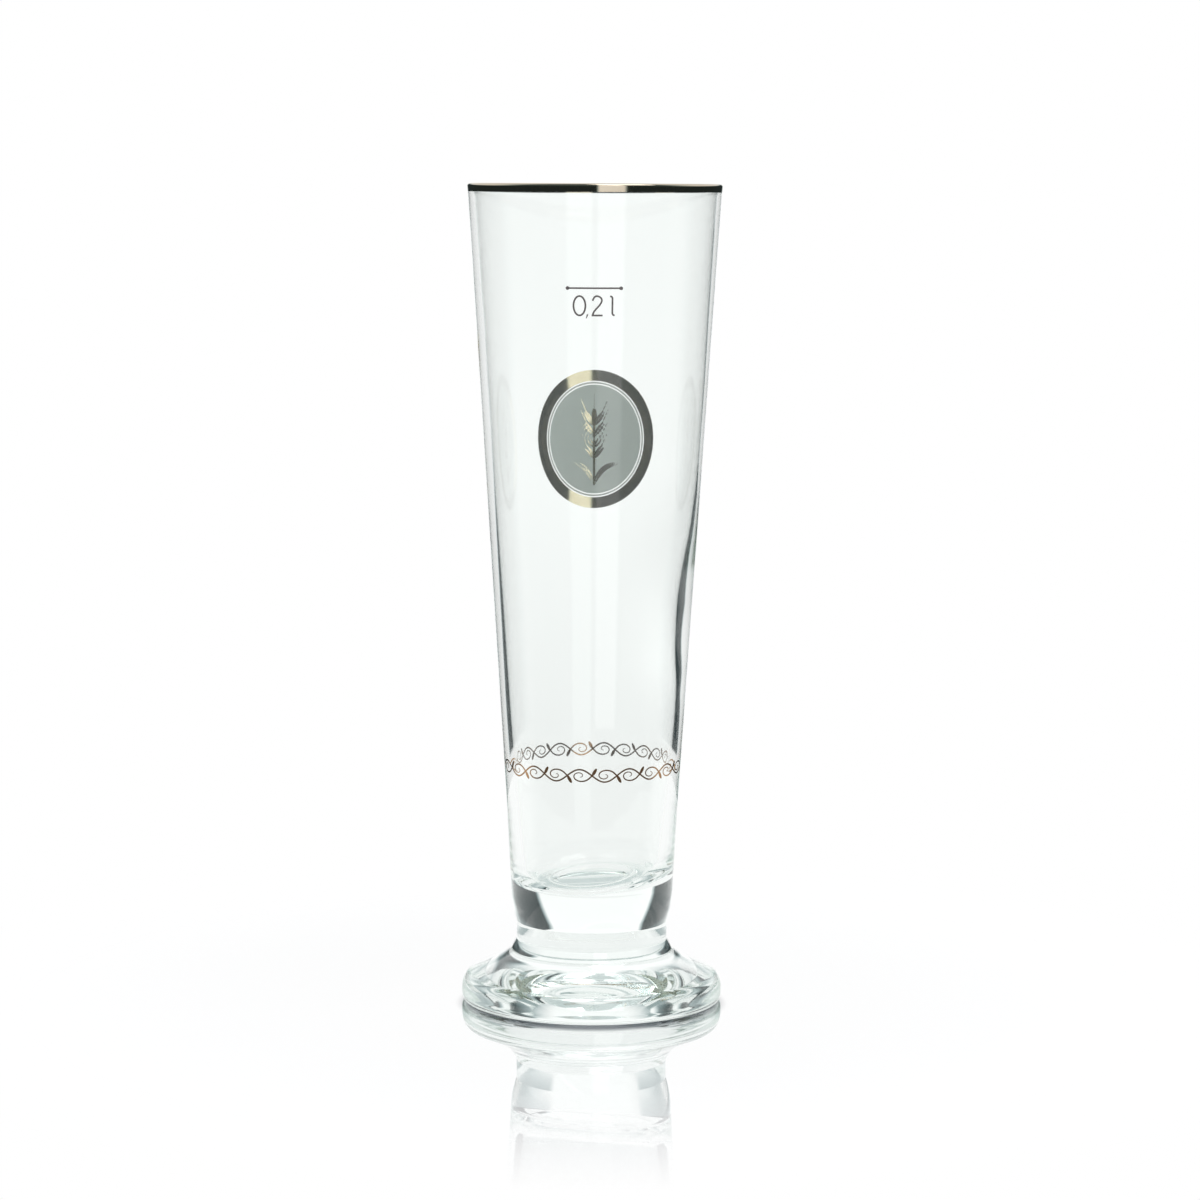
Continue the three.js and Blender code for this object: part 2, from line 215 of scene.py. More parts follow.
def stroke(
    centre: np.ndarray, width: np.ndarray, proud: float = PROUD, across: int = 2, ring: bool = False
) -> Skin:
    """A flat film along a centre line, with x along the girth, y up and z out of the wall.

    Each row of the film is a thin rectangle that reaches half the width to either side, along the line's
    normal, and from just under the glass to the proud face.

    Args:
        centre: The centre line, as rows of 2.
        width: The film's width at each point of the line.
        proud: How far the film stands out of the glass.
        across: Points across the width.
        ring: Whether the line closes on itself.

    Returns:
        The film, still flat.
    """
    ahead = np.gradient(centre, axis=0)
    if ring:
        ahead = np.roll(centre, -1, axis=0) - np.roll(centre, 1, axis=0)
    ahead = ahead / np.linalg.norm(ahead, axis=1, keepdims=True)
    normal = np.stack([-ahead[:, 1], ahead[:, 0]], axis=1)
    reach = np.linspace(-0.5, 0.5, across)[None, :, None] * width[:, None, None]
    face = centre[:, None] + normal[:, None] * reach
    grid = np.zeros((len(centre), 2 * across, 3))
    grid[:, :across, :2] = face
    grid[:, across:, :2] = face[:, ::-1]
    grid[:, :across, 2] = proud
    grid[:, across:, 2] = -SUNK
    return skin(grid, Ends.JOINED if ring else Ends.CAPPED)


def even(width: float, count: int) -> np.ndarray:
    """The same width all along."""
    return np.full(count, width)


def leaf(width: float, tip: float, count: int) -> np.ndarray:
    """Narrow at both ends and full between: the width times the sine of a half turn, at least the tip."""
    return np.maximum(tip, width * np.sin(np.linspace(0, math.pi, count)))


def taper(width: float, tip: float, count: int) -> np.ndarray:
    """Full at the start and thin at the end."""
    return np.linspace(width, tip, count)


def oval(half_width: float, half_height: float, count: int) -> np.ndarray:
    """Points round an oval."""
    turn = np.linspace(0, 2 * math.pi, count, endpoint=False)
    return np.stack([half_width * np.cos(turn), half_height * np.sin(turn)], axis=1)


def smooth(low: float, high: float, value: np.ndarray) -> np.ndarray:
    """Rises from 0 at low to 1 at high along three squares less two cubes."""
    share = np.clip((value - low) / (high - low), 0, 1)
    return share * share * (3 - 2 * share)


def linear(colour: str) -> tuple[float, float, float, float]:
    """Turns an sRGB hex colour to linear light, with an alpha of 1."""
    parts = np.array([int(colour[start : start + 2], 16) for start in (1, 3, 5)]) / 255
    light = np.where(parts <= 0.04045, parts / 12.92, ((parts + 0.055) / 1.055) ** 2.4)
    return (float(light[0]), float(light[1]), float(light[2]), 1.0)


def add_node(
    tree: bpy.types.NodeTree, kind: str, inputs: dict[str | int, Any] | None = None, **settings: Any
) -> bpy.types.NodeOutputs:
    """Adds a node with its settings, values and links.

    Args:
        tree: The tree that the node goes into.
        kind: Blender's name of the shader node, without the words that all of them start with.
        inputs: Values, or sockets to link from, by the input's name or number.
        settings: The node's own settings. The stops of a colour ramp are pairs of place and grey level.

    Returns:
        The new node's outputs.
    """
    node = tree.nodes.new("ShaderNode" + kind)
    for name, value in settings.items():
        if name == "stops":
            steps = node.color_ramp.elements
            while len(steps) < len(value):
                steps.new(1.0)
            for step, (place, level) in zip(steps, value):
                step.position = place
                step.color = (level, level, level, 1.0)
        else:
            setattr(node, name, value)
    for key, value in (inputs or {}).items():
        if isinstance(value, bpy.types.NodeSocket):
            tree.links.new(value, node.inputs[key])
        else:
            node.inputs[key].default_value = value
    return node.outputs


def new_tree(name: str) -> tuple[bpy.types.Material, bpy.types.NodeTree]:
    """An empty node material and its tree."""
    material = bpy.data.materials.new(name)
    material.use_nodes = True
    material.node_tree.nodes.clear()
    return material, material.node_tree


@dataclass(frozen=True)
class ClearGlass:
    """Soda-lime glass, blown and pressed, then fire-polished.

    The eye gets a mirror-smooth skin and no colour but a breath of green where the light runs far inside.
    """

    name: str = "soda_lime_glass_fire_polished"
    tint: str = "#fbfdfc"
    depth_colour: str = "#c9e2d8"
    depth_density: float = 3.0
    ior: float = 1.52
    roughness: float = 0.03
    cord_size: float = 14 * MM
    cord_strength: float = 0.02

    def material(self) -> bpy.types.Material:
        """Builds the glass, with the faint cords that the melt leaves in its skin as a bump."""
        material, tree = new_tree(self.name)
        place = add_node(tree, "TexCoord")
        cords = add_node(
            tree, "TexNoise", {"Vector": place["Object"], "Scale": 1 / self.cord_size, "Detail": 1.0}
        )
        skin_bump = add_node(
            tree, "Bump", {"Height": cords["Fac"], "Strength": self.cord_strength, "Distance": 1 * MM}
        )
        shader = add_node(
            tree,
            "BsdfPrincipled",
            {
                "Base Color": linear(self.tint),
                "Roughness": self.roughness,
                "IOR": self.ior,
                "Transmission Weight": 1.0,
                "Normal": skin_bump["Normal"],
            },
        )
        depth = add_node(
            tree, "VolumeAbsorption", {"Color": linear(self.depth_colour), "Density": self.depth_density}
        )
        add_node(tree, "OutputMaterial", {"Surface": shader["BSDF"], "Volume": depth["Volume"]})
        return material


@dataclass(frozen=True)
class Gilding:
    """Liquid bright gold, brushed or printed on and fired.

    The eye gets a thin mirror, darker and redder where the film is thin, with faint brush marks.
    """

    name: str
    colour: str
    thin_colour: str
    roughness: float
    rough_patch: float
    patch_size: float

    def material(self) -> bpy.types.Material:
        """Builds the gold: patches of thinner film change its colour and blur."""
        material, tree = new_tree(self.name)
        place = add_node(tree, "TexCoord")
        patches = add_node(
            tree, "TexNoise", {"Vector": place["Object"], "Scale": 1 / self.patch_size, "Detail": 4.0}
        )
        film = add_node(
            tree,
            "Mix",
            {"Factor": patches["Fac"], 6: linear(self.thin_colour), 7: linear(self.colour)},
            data_type="RGBA",
        )
        blur = add_node(
            tree,
            "MapRange",
            {
                "Value": patches["Fac"],
                "From Min": 0.3,
                "From Max": 0.7,
                "To Min": self.rough_patch,
                "To Max": self.roughness,
            },
        )
        shader = add_node(
            tree, "BsdfPrincipled", {"Base Color": film[2], "Metallic": 1.0, "Roughness": blur["Result"]}
        )
        add_node(tree, "OutputMaterial", {"Surface": shader["BSDF"]})
        return material


@dataclass(frozen=True)
class FiredEnamel:
    """Glass enamel, screen printed and fired.

    The eye gets a satin coat with a fine mottle, where the pigment lies thicker and thinner. Its inner face,
    seen through the glass, takes a plain colour of its own: painted backlight, paler where light shines
    through.
    """

    name: str
    colour: str
    thin_colour: str
    inner_face_backlight_colour: str
    roughness: float
    grain_size: float

    def material(self) -> bpy.types.Material:
        """Builds the enamel: a mottle of pigment on its outer face and a plain colour, painted backlight, on
        its inner one.
        """
        material, tree = new_tree(self.name)
        place = add_node(tree, "TexCoord")
        pigment = add_node(
            tree, "TexNoise", {"Vector": place["Object"], "Scale": 1 / self.grain_size, "Detail": 3.0}
        )
        coat = add_node(
            tree,
            "Mix",
            {"Factor": pigment["Fac"], 6: linear(self.thin_colour), 7: linear(self.colour)},
            data_type="RGBA",
        )
        # The inner face gets its own plain colour: painted backlight, standing in for light from behind
        # shining through the enamel.
        face = add_node(tree, "Attribute", attribute_name=FACE)
        inner_backlight_mix = add_node(
            tree,
            "Mix",
            {"Factor": face["Fac"], 6: linear(self.inner_face_backlight_colour), 7: coat[2]},
            data_type="RGBA",
        )
        shader = add_node(tree, "BsdfPrincipled", {"Base Color": inner_backlight_mix[2], "Roughness": self.roughness})
        add_node(tree, "OutputMaterial", {"Surface": shader["BSDF"]})
        return material


GLASS = ClearGlass()
LIP_GOLD = Gilding("bright_gold_brushed_on_lip", "#cfc4b2", "#beb2a0", 0.05, 0.08, 3 * MM)
BADGE_GOLD = Gilding("bright_gold_printed_badge", "#e9dfc4", "#d6caab", 0.05, 0.09, 2 * MM)
SCROLL_GOLD = Gilding("bright_gold_printed_scroll", "#c39f78", "#a07c5e", 0.08, 0.14, 1.5 * MM)
# Each enamel's third colour is its inner face, seen through the glass; the field's much paler one is painted
# backlight.
MARK_ENAMEL = FiredEnamel("dark_enamel_printed_mark", "#4a4546", "#6d6868", "#5a5555", 0.45, 0.5 * MM)
PALE_ENAMEL = FiredEnamel("pale_enamel_printed_hairline", "#e9ece8", "#dfe4e0", "#e6eae6", 0.4, 0.8 * MM)
FIELD_ENAMEL = FiredEnamel("grey_green_enamel_printed_field", "#9fb5af", "#b2c5bf", "#eaf4f0", 0.4, 1.2 * MM)


def make_piece(
    name: str, shape: Skin, finish: ClearGlass | Gilding | FiredEnamel, crease: float
) -> bpy.types.Object:
    """Makes a finished piece that stands for the solids of the same name.

    Args:
        name: The piece's name, after the solids that it stands for.
        shape: Its closed surface.
        finish: What it is made of.
        crease: The angle past which an edge stays sharp.

    Returns:
        The new object, at the origin.
    """
    mesh = bpy.data.meshes.new(name)
    mesh.from_pydata(shape.points.tolist(), [], shape.quads.tolist() + shape.triangles.tolist())
    mesh.polygons.foreach_set("use_smooth", np.ones(len(mesh.polygons), bool))
    mesh.set_sharp_from_angle(angle=crease)
    mesh.materials.append(bpy.data.materials.get(finish.name) or finish.material())
    piece = bpy.data.objects.new(name, mesh)
    bpy.context.scene.collection.objects.link(piece)
    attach(piece, BODY)
    log.info("%s: %d faces", name, len(mesh.polygons))
    return piece


@dataclass
class Wall:
    """The outside of the bowl, as the prints see it: three heights and the radius at each."""

    heel_top: float = 28 * MM
    heel_radius: float = 19.15 * MM
    bend_top: float = 47 * MM
    bend_radius: float = 20.15 * MM
    rim_top: float = 192 * MM
    rim_radius: float = 29.6 * MM

    def radius(self, height: np.ndarray | float) -> np.ndarray:
        """The outside radius at a height: straight lines between the three."""
        heights = [self.heel_top, self.bend_top, self.rim_top]
        return np.interp(height, heights, [self.heel_radius, self.bend_radius, self.rim_radius])

    def wrap(self, flat: Skin, level: float, side: Side) -> Skin:
        """Bends a flat print round the bowl.

        The turn is the print's x over the girth radius at its level, the height is the level plus y, and
        the radius there is the wall's plus z.

        Args:
            flat: The print, with x along the girth, y up and z out.
            level: Height of the print's own zero.
            side: The side of the bowl that it is on.

        Returns:
            The print in its place on the wall.
        """
        x, y, z = flat.points.T
        turn = side.value + x / self.radius(level)
        radius = self.radius(level + y) + z
        place = np.stack([radius * np.sin(turn), -radius * np.cos(turn), level + y], axis=1)
        return Skin(place, flat.quads, flat.triangles)

    def fire_on(
        self, name: str, flat: Skin, level: float, side: Side, finish: Gilding | FiredEnamel, slot: str
    ) -> None:
        """Makes a print in place of the solid of its name, and marks which points lie on its outer face.

        Args:
            name: The solid that the print stands for.
            flat: The print, still flat.
            level: Height of the print's own zero.
            side: The side of the bowl that it is on.
            finish: What it is printed in.
            slot: A material slot name; not used.
        """
        piece = make_piece(name + "_print", self.wrap(flat, level, side), finish, FILM_CREASE)
        outer = piece.data.attributes.new(FACE, "FLOAT", "POINT")
        outer.data.foreach_set("value", (flat.points[:, 2] > 0).astype(np.float32))
        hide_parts(name)


@dataclass
class FusedGlass:
    """Foot, stem and bowl, fused hot into one clear piece."""

    wall: Wall
    foot_radius: float
    foot_height: float
    stem_radius: float
    stem_top: float
    punt_radius: float = 22.5 * MM
    punt_depth: float = 2.2 * MM
    rest_inset: float = 1.6 * MM
    edge_rise: float = 2 * MM
    edge_top: float = 2.6 * MM
    edge_crown: float = 5.9 * MM
    shoulder_inset: float = 2.1 * MM
    shoulder_height: float = 6.7 * MM
    waist_rise: float = 3.2 * MM
    waist_flare: float = 2.55 * MM
    crease_flare: float = 1.15 * MM
    crease_drop: float = 2.1 * MM
    heel_fullness: float = 4.4 * MM
    floor_level: float = 28.7 * MM
    floor_corner: float = 6 * MM
    floor_ring: float = 9.8 * MM
    ring_width: float = 1.5 * MM
    ring_height: float = 0.55 * MM
    floor_dish: float = 0.5 * MM
    chill_depth: float = 0.1 * MM
    chill_pitch: float = 1.7 * MM
    low_wall: float = 3.2 * MM
    rim_wall: float = 1.2 * MM
    lip_swell: float = 0.03 * MM
    lip_height: float = 2.6 * MM
    left_wall: tuple[tuple[float, float], ...] = (
        (30, 0.0),
        (45, -0.3),
        (65, -0.45),
        (93, -0.3),
        (118, -0.2),
        (150, 0.0),
    )
    right_wall: tuple[tuple[float, float], ...] = (
        (30, 0.0),
        (45, -0.2),
        (60, -0.45),
        (74, -0.3),
        (84, 0.3),
        (95, 0.5),
        (104, 0.1),
        (112, -0.4),
        (124, -0.75),
        (140, -0.65),
        (162, -0.25),
        (182, 0.0),
    )
    crease: float = 0.28
    floor_tilt: float = 0.09
    floor_lean: float = 0.11
    tilt_full: float = 32 * MM
    tilt_none: float = 60 * MM

    @property
    def lip_radius(self) -> float:
        """Half the thickness of the swollen lip."""
        return self.rim_wall / 2 + self.lip_swell

    @property
    def lip_centre(self) -> tuple[float, float]:
        """Middle of the lip's round, as radius and height."""
        return (self.wall.rim_radius - self.rim_wall / 2, self.wall.rim_top - self.lip_radius)

    def bore(self, height: np.ndarray | float) -> np.ndarray:
        """The inside radius at a height, on the straight line of the bore."""
        low, high = self.wall.bend_top, self.wall.rim_top
        bottom = self.wall.bend_radius - self.low_wall
        top = self.wall.rim_radius - self.rim_wall
        return bottom + (top - bottom) * (height - low) / (high - low)

    def lip(self, count: int) -> np.ndarray:
        """The lip's round, from outside over the top to the inside."""
        turn = np.linspace(0, math.pi, count)
        ring = np.stack([np.cos(turn), np.sin(turn)], axis=1)
        return np.array(self.lip_centre) + self.lip_radius * ring

    def outside(self) -> np.ndarray:
        """The outer profile, from the middle of the underside to the lip, as radius and height.

        It is a chain of straight lines and quadratic curves, each with its count of points at the end.

        Returns:
            The points, as rows of 2.
        """
        stem, foot, wall = self.stem_radius, self.foot_radius, self.wall
        shoulder = (foot - self.shoulder_inset, self.shoulder_height)
        crease = (stem + self.crease_flare, self.foot_height - self.crease_drop)
        lip_foot = wall.rim_top - self.lip_height
        lip = (self.lip_centre[0] + self.lip_radius, self.lip_centre[1])
        return chained([
            bend((0, self.punt_depth), (self.punt_radius / 2, self.punt_depth), (self.punt_radius, 0), 24),
            straight((self.punt_radius, 0), (foot - self.rest_inset, 0), 8),
            bend((foot - self.rest_inset, 0), (foot, 0), (foot, self.edge_rise), 12),
            straight((foot, self.edge_rise), (foot, self.edge_top), 4),
            bend((foot, self.edge_top), (foot, self.edge_crown), shoulder, 16),
            bend(shoulder, (stem + self.waist_flare, shoulder[1] + self.waist_rise), crease, 24),
            straight(crease, (stem, self.foot_height), 10),
            straight((stem, self.foot_height), (stem, self.stem_top), 12),
            bend(
                (stem, self.stem_top),
                (wall.heel_radius, self.stem_top + self.heel_fullness),
                (wall.heel_radius, wall.heel_top),
                16,
            ),
            straight((wall.heel_radius, wall.heel_top), (wall.bend_radius, wall.bend_top), 16),
            straight((wall.bend_radius, wall.bend_top), (float(wall.radius(lip_foot)), lip_foot), 40),
            straight((float(wall.radius(lip_foot)), lip_foot), lip, 8),
        ])

    def inside(self) -> np.ndarray:
        """The inner profile, from the lip down the bore to the middle of the dished floor.

        The bore is straight, its corner is a quadratic curve, and a smooth line over a low bead draws the
        ring that the mould's plunger leaves on the floor.

        Returns:
            The points, as rows of 2.
        """
        lip_foot = self.wall.rim_top - self.lip_height
        corner = self.floor_level + self.floor_corner
        ring, width, level = self.floor_ring, self.ring_width, self.floor_level
        bead = [
            (ring + width, level),
            (ring + width / 2, level + self.ring_height / 3),
            (ring, level + self.ring_height),
            (ring - width / 2, level + self.ring_height / 3),
            (ring - width, level - self.floor_dish / 3),
        ]
        return chained([
            straight(
                (self.lip_centre[0] - self.lip_radius, self.lip_centre[1]),
                (float(self.bore(lip_foot)), lip_foot),
                8,
            ),
            straight((float(self.bore(lip_foot)), lip_foot), (float(self.bore(corner)), corner), 90),
            bend((float(self.bore(corner)), corner), (float(self.bore(level)), level), bead[0], 24),
            flow(bead, 33),
            bend(bead[-1], (ring / 2, level - self.floor_dish), (0, level - self.floor_dish), 12),
        ])

    def swell(self, knots: tuple[tuple[float, float], ...], height: np.ndarray) -> np.ndarray:
        """How much thicker a side wall is at a height: the smooth line through its knots, in millimetres."""
        line = flow(list(knots), 200) * MM
        return np.interp(height, line[:, 0], line[:, 1])

    def shape(self) -> Skin:
        """Turns the profile round the axis, with uneven side walls and a tilted floor.

        Each point is its radius times the sine and the cosine of the turn. Inside, the radius loses the
        left or right wall's swell times the square of the sine, and the floor falls to the left and the
        front by a straight slope, with chill ripples beside its ring: a sine of the radius times the
        fourth power of the sine of the turn.

        Returns:
            The closed skin of the whole glass.
        """
        outer, lip, inner = self.outside(), self.lip(25), self.inside()
        profile = chained([outer, lip, inner])
        is_inside = (np.arange(len(profile)) >= len(outer) + len(lip) - 2)[:, None]
        turn = np.linspace(0, 2 * math.pi, ROUND_STEPS, endpoint=False)[None]
        radius, height = profile[:, :1], profile[:, 1:]
        right = np.sin(turn) > 0
        swell = np.where(right, self.swell(self.right_wall, height), self.swell(self.left_wall, height))
        bore = radius - np.where(is_inside, swell * np.sin(turn) ** 2, 0)
        near_floor = np.where(is_inside, 1 - smooth(self.tilt_full, self.tilt_none, height), 0)
        x = bore * np.sin(turn)
        y = -bore * np.cos(turn)
        ring_edge = self.floor_ring + self.ring_width
        beside = smooth(ring_edge, ring_edge + self.ring_width, radius) * np.sin(turn) ** 4
        chill = self.chill_depth * np.sin(2 * math.pi * radius / self.chill_pitch) * beside
        z = height + near_floor * (self.floor_tilt * x + self.floor_lean * y + chill)
        return skin(np.stack([x, y, z], axis=-1), Ends.POLES)

    def build(self) -> None:
        """Makes the glass in place of the three solids."""
        piece = make_piece("fused_glass", self.shape(), GLASS, self.crease)
        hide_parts("foot", "stem", "bowl")


@dataclass
class LipGilding:
    """The gold band over the lip."""

    glass: FusedGlass
    outside_height: float = 1.9 * MM
    inside_height: float = 1.2 * MM
    waver: float = 0.05 * MM
    bond: float = 0.004 * MM
    slow_waves: int = 3
    slow_share: float = 0.6
    slow_phase: float = 0.7
    quick_waves: int = 8

    def build(self) -> None:
        """Carries a thin section that follows the lip round the axis, with a lower edge that wavers.

        The section is the lip's own line, moved out along its normal by the film's face and back by the
        thin bond under it. The outer edge rises and falls with the sum of two sines of the turn, which
        fades with the sixth power of the way along the section.
        """
        lip = self.glass.lip(25)
        wall = self.glass.wall
        foot = wall.rim_top - self.glass.lip_height
        low_out = wall.rim_top - self.outside_height
        low_in = wall.rim_top - self.inside_height
        share_out = (low_out - foot) / (lip[0, 1] - foot)
        share_in = (low_in - foot) / (lip[-1, 1] - foot)
        start = (1 - share_out) * wall.radius(foot) + share_out * lip[0, 0]
        end = (1 - share_in) * self.glass.bore(foot) + share_in * lip[-1, 0]
        line = chained([
            straight((float(start), low_out), tuple(lip[0]), 10),
            lip,
            straight(tuple(lip[-1]), (float(end), low_in), 8),
        ])
        ahead = np.gradient(line, axis=0)
        ahead = ahead / np.linalg.norm(ahead, axis=1, keepdims=True)
        normal = np.stack([ahead[:, 1], -ahead[:, 0]], axis=1)
        section = np.concatenate([line + PROUD * normal, (line + self.bond * normal)[::-1]])
        turn = np.linspace(0, 2 * math.pi, ROUND_STEPS, endpoint=False)[:, None]
        slow = self.slow_share * np.sin(self.slow_waves * turn + self.slow_phase)
        quick = (1 - self.slow_share) * np.sin(self.quick_waves * turn)
        waver = self.waver * (slow + quick)
        along = np.concatenate([eased(len(line)), eased(len(line))[::-1]])
        radius, height = section[None, :, 0], section[None, :, 1] + waver * (1 - along) ** 6
        grid = np.stack([radius * np.sin(turn), -radius * np.cos(turn), height], axis=-1)
        piece = make_piece("lip_gilding", skin(grid, Ends.JOINED), LIP_GOLD, FILM_CREASE)
        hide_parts("rim_band")


@dataclass
class FillMark:
    """The fill line on the near side, with the plain figures of the volume under it."""

    wall: Wall
    drop: float = 23.4 * MM
    length: float = 13 * MM
    line_width: float = 0.38 * MM
    dot_radius: float = 0.42 * MM
    figure_drop: float = 3.95 * MM
    figure_height: float = 4.75 * MM
    figure_stroke: float = 0.4 * MM
    zero_width: float = 3.1 * MM
    zero_place: float = -3.35 * MM
    comma_length: float = 0.9 * MM
    comma_place: float = -1.5 * MM
    two_width: float = 2.5 * MM
    two_place: float = 0.65 * MM
    litre_hook: float = 0.55 * MM
    litre_place: float = 4.1 * MM
    foot_proud: float = 0.9 * PROUD

    def line(self) -> Skin:
        """A straight line whose width follows a round dot at either end."""
        along = np.linspace(0, self.length, 121)
        from_end = np.minimum(along, self.length - along)
        dot = 2 * np.sqrt(np.maximum(0, from_end * (2 * self.dot_radius - from_end)))
        centre = np.stack([along - self.length / 2, np.zeros_like(along)], axis=1)
        return stroke(centre, np.maximum(self.line_width, dot))

    def zero(self) -> Skin:
        """An upright oval ring of even width."""
        edge = self.figure_stroke / 2
        ring = oval(self.zero_width / 2 - edge, self.figure_height / 2 - edge, 72)
        return stroke(ring + (self.zero_place, 0), even(self.figure_stroke, 72), ring=True)

    def comma(self) -> Skin:
        """A short tapered stroke through the figures' foot line."""
        foot = -self.figure_height / 2
        top = (self.comma_place, foot + self.comma_length / 2)
        tip = (self.comma_place - self.comma_length / 3, foot - self.comma_length / 2)
        return stroke(straight(top, tip, 8), taper(self.figure_stroke, FILM_TIP, 8))

    def two(self) -> Skin:
        """A round head, a neck that falls to the left and a straight foot."""
        half = (self.two_width - self.figure_stroke) / 2
        top = (self.figure_height - self.figure_stroke) / 2
        head = flow(
            [
                (-half, top - half),
                (-half * 0.6, top - half * 0.25),
                (0, top),
                (half * 0.75, top - half * 0.35),
                (half, top - half),
                (half * 0.55, top - half * 1.9),
                (-half * 0.6, -top + half * 0.9),
                (-half, -top),
            ],
            64,
        )
        reach = half + self.figure_stroke / 2
        foot = straight((-reach, -top), (reach, -top), 10)
        place = (self.two_place, 0)
        return joined([
            stroke(head + place, even(self.figure_stroke, 64)),
            stroke(foot + place, even(self.figure_stroke, 10), self.foot_proud),
        ])

    def litre(self) -> Skin:
        """An upright with a small flag at its head and a hook at its foot."""
        top, hook = (self.figure_height - self.figure_stroke) / 2, self.litre_hook
        upright = flow(
            [
                (-hook, top),
                (-hook / 8, top - hook / 2),
                (0, top - hook * 2),
                (0, -top + hook * 2),
                (hook / 8, -top + hook / 2),
                (hook, -top),
            ],
            56,
        )
        return stroke(upright + (self.litre_place, 0), even(self.figure_stroke, 56))

    def build(self) -> None:
        """Prints the line and each figure on the near wall."""
        line_level = self.wall.rim_top - self.drop
        figures = line_level - self.figure_drop
        for name, flat, level in (
            ("fill_line", self.line(), line_level),
            ("volume_zero", self.zero(), figures),
            ("volume_comma", self.comma(), figures),
            ("volume_two", self.two(), figures),
            ("volume_litre", self.litre(), figures),
        ):
            self.wall.fire_on(name, flat, level, Side.NEAR, MARK_ENAMEL, "mark_enamel")


@dataclass
class Badge:
    """The oval badge on the far side: a gold frame, a pale hairline, a field and an ear of barley.

    Strokes of the ear that cross each other stand proud by different amounts, so that no two share a face.
    """

    wall: Wall
    drop: float = 61.3 * MM
    width: float = 30 * MM
    height: float = 33 * MM
    frame: float = 2.6 * MM
    slit: float = 0.25 * MM
    hairline: float = 0.4 * MM
    stalk: float = 6.5 * MM
    stalk_width: float = 0.6 * MM
    grain_pairs: int = 4
    grain_length: float = 4.2 * MM
    grain_width: float = 1.35 * MM
    grain_pitch: float = 2.6 * MM
    grain_lean: float = 0.62
    awn_length: float = 3.6 * MM
    awn_width: float = 0.34 * MM
    blade_reach: float = 6.2 * MM
    blade_rise: float = 5.2 * MM
    blade_width: float = 1.3 * MM
    stalk_proud: float = 1.8 * PROUD
    awn_proud: float = 2 * PROUD
    grain_proud: float = 2.2 * PROUD
    blade_proud: float = 2.4 * PROUD
    tip: float = FILM_TIP

    def band(self, inset: float, width: float, across: int) -> Skin:
        """An oval ring of even width, whose outer edge lies inside the badge's outline by the inset."""
        middle = inset + width / 2
        line = oval(self.width / 2 - middle, self.height / 2 - middle, 144)
        return stroke(line, even(width, 144), across=across, ring=True)

    def field(self, inset: float) -> Skin:
        """A filled oval: rings from the middle of its face out over the edge to the middle of its back."""
        share = np.linspace(0, 1, 16)
        reach = np.concatenate([share, share[::-1]])[:, None]
        edge = oval(self.width / 2 - inset, self.height / 2 - inset, 144)
        grid = np.zeros((len(reach), 144, 3))
        grid[..., 0] = reach * edge[:, 0]
        grid[..., 1] = reach * edge[:, 1]
        grid[: len(share), :, 2] = PROUD
        grid[len(share) :, :, 2] = -SUNK
        return skin(grid, Ends.POLES)

    def grain(self, base: float, lean: float) -> list[Skin]:
        """A leaf-shaped grain from the stalk, with a tapered awn that leans half as far."""
        tip = np.array([math.sin(lean), math.cos(lean)]) * self.grain_length + (0, base)
        root = np.array([0, base])
        awn = tip + np.array([math.sin(lean / 2), math.cos(lean / 2)]) * self.awn_length
        grain = straight(tuple(root), tuple(tip), 18)
        beard = straight(tuple((root + tip) / 2), tuple(awn), 8)
        return [
            stroke(grain, leaf(self.grain_width, self.tip, 18), self.grain_proud, 3),
            stroke(beard, taper(self.awn_width, self.tip, 8), self.awn_proud),
        ]

    def barley(self) -> Skin:
        """A stalk with two curved blades, grains in leaning pairs and a last one at the tip."""
        rise = (self.grain_pairs - 1) * self.grain_pitch
        foot = -(self.stalk + rise + self.grain_length + self.awn_length) / 2
        ear = foot + self.stalk
        stem_tip = (0.0, ear + rise + self.grain_length / 2)
        parts = [stroke(straight((0, foot), stem_tip, 24), even(self.stalk_width, 24), self.stalk_proud)]
        for pair in range(self.grain_pairs):
            for lean in (-self.grain_lean, self.grain_lean):
                parts += self.grain(ear + pair * self.grain_pitch, lean)
        parts += self.grain(ear + rise, 0.0)
        for side in (-1, 1):
            pull = (side * self.blade_reach / 4, foot + self.blade_rise)
            curve = bend((0, foot), pull, (side * self.blade_reach, foot + self.blade_rise), 24)
            parts.append(stroke(curve, leaf(self.blade_width, self.tip, 24), self.blade_proud, 3))
        return joined(parts)

    def build(self) -> None:
        """Prints the four layers on the far wall."""
        level = self.wall.rim_top - self.drop
        line_inset = self.frame + self.slit
        field_inset = line_inset + self.hairline + self.slit
        for name, flat, finish, slot in (
            ("badge_frame", self.band(0, self.frame, 5), BADGE_GOLD, "badge_gilding"),
            ("badge_hairline", self.band(line_inset, self.hairline, 2), PALE_ENAMEL, "pale_enamel"),
            ("badge_field", self.field(field_inset), FIELD_ENAMEL, "field_enamel"),
            ("badge_barley", self.barley(), BADGE_GOLD, "badge_gilding"),
        ):
            self.wall.fire_on(name, flat, level, Side.FAR, finish, slot)


